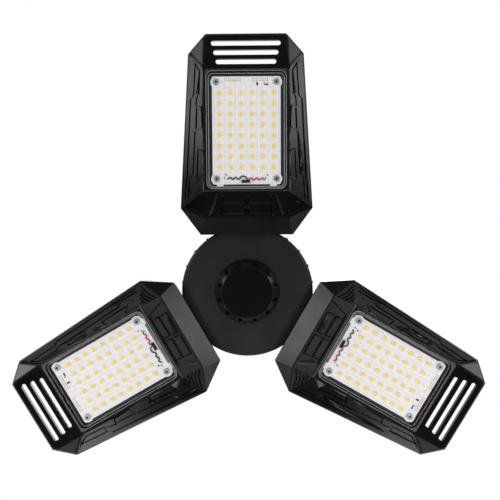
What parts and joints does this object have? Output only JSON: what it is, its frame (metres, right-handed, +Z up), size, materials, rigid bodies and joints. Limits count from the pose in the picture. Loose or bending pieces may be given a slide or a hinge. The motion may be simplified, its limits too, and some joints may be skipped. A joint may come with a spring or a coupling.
{
  "type": "led ceiling light",
  "caption": "Screw-in LED ceiling light: a round hub with tilting tray-shaped panels, each with a clear window over an LED board and a finned back.",
  "frame": {"origin": "on the screw base's axis at the lower end of its skirt, where the neck begins", "axes": "+Z up along the screw base, -Y along the panel at the top of the picture, LEDs face -Z"},
  "size_m": [0.3362, 0.2947, 0.1103],
  "materials": {
    "black_plastic": "satin moulded black",
    "cap_plastic": "fine textured black",
    "clear_lens": "clear polished",
    "seal_rubber": "matte",
    "gland_rubber": "matte",
    "white_board": "white solder mask",
    "led_yellow": "phosphor coat",
    "screw_steel": "plated",
    "black_aluminium": "black coated",
    "plug_black": "moulded",
    "wire_red": "insulated wire",
    "wire_black": "insulated wire",
    "washer_nylon": "moulded",
    "green_board": "solder mask",
    "driver_parts": "moulded",
    "shell_metal": "plated",
    "insulator": "black glazed",
    "contact_brass": "plain"
  },
  "bodies": {
    "hub": {"hub_cover": "black_plastic", "centre_cap": "cap_plastic", "hub_housing": "black_plastic", "hub_glands": "gland_rubber", "neck": "black_plastic", "driver_board": "green_board", "driver_parts": "driver_parts", "screw_shell": "shell_metal", "base_insulator": "insulator", "centre_contact": "contact_brass", "front_hinge_bolt": "screw_steel", "front_hinge_nut": "screw_steel", "front_friction_washers": "washer_nylon", "left_hinge_bolt": "screw_steel", "left_hinge_nut": "screw_steel", "left_friction_washers": "washer_nylon", "right_hinge_bolt": "screw_steel", "right_hinge_nut": "screw_steel", "right_friction_washers": "washer_nylon"},
    "front_panel": {"front_frame": "black_plastic", "front_lens": "clear_lens", "front_lens_seal": "seal_rubber", "front_led_board": "white_board", "front_leds": "led_yellow", "front_board_screws": "screw_steel", "front_heat_sink": "black_aluminium", "front_back_screws": "screw_steel", "front_hinge_arm": "black_aluminium", "front_cable_gland": "gland_rubber", "front_board_parts": "plug_black", "front_red_wire": "wire_red", "front_black_wire": "wire_black"},
    "left_panel": {"left_frame": "black_plastic", "left_lens": "clear_lens", "left_lens_seal": "seal_rubber", "left_led_board": "white_board", "left_leds": "led_yellow", "left_board_screws": "screw_steel", "left_heat_sink": "black_aluminium", "left_back_screws": "screw_steel", "left_hinge_arm": "black_aluminium", "left_cable_gland": "gland_rubber", "left_board_parts": "plug_black", "left_red_wire": "wire_red", "left_black_wire": "wire_black"},
    "right_panel": {"right_frame": "black_plastic", "right_lens": "clear_lens", "right_lens_seal": "seal_rubber", "right_led_board": "white_board", "right_leds": "led_yellow", "right_board_screws": "screw_steel", "right_heat_sink": "black_aluminium", "right_back_screws": "screw_steel", "right_hinge_arm": "black_aluminium", "right_cable_gland": "gland_rubber", "right_board_parts": "plug_black", "right_red_wire": "wire_red", "right_black_wire": "wire_black"}
  },
  "joints": [
    {"name": "front_tilt", "type": "hinge", "parent": "hub", "child": "front_panel", "pos_m": [0, -0.056, -0.064], "axis": [-1, 0, 0], "range_deg": [-10, 90]},
    {"name": "left_tilt", "type": "hinge", "parent": "hub", "child": "left_panel", "pos_m": [-0.0485, 0.028, -0.064], "axis": [0.5, 0.866, 0], "range_deg": [-10, 90]},
    {"name": "right_tilt", "type": "hinge", "parent": "hub", "child": "right_panel", "pos_m": [0.0485, 0.028, -0.064], "axis": [0.5, -0.866, 0], "range_deg": [-10, 90]}
  ]
}
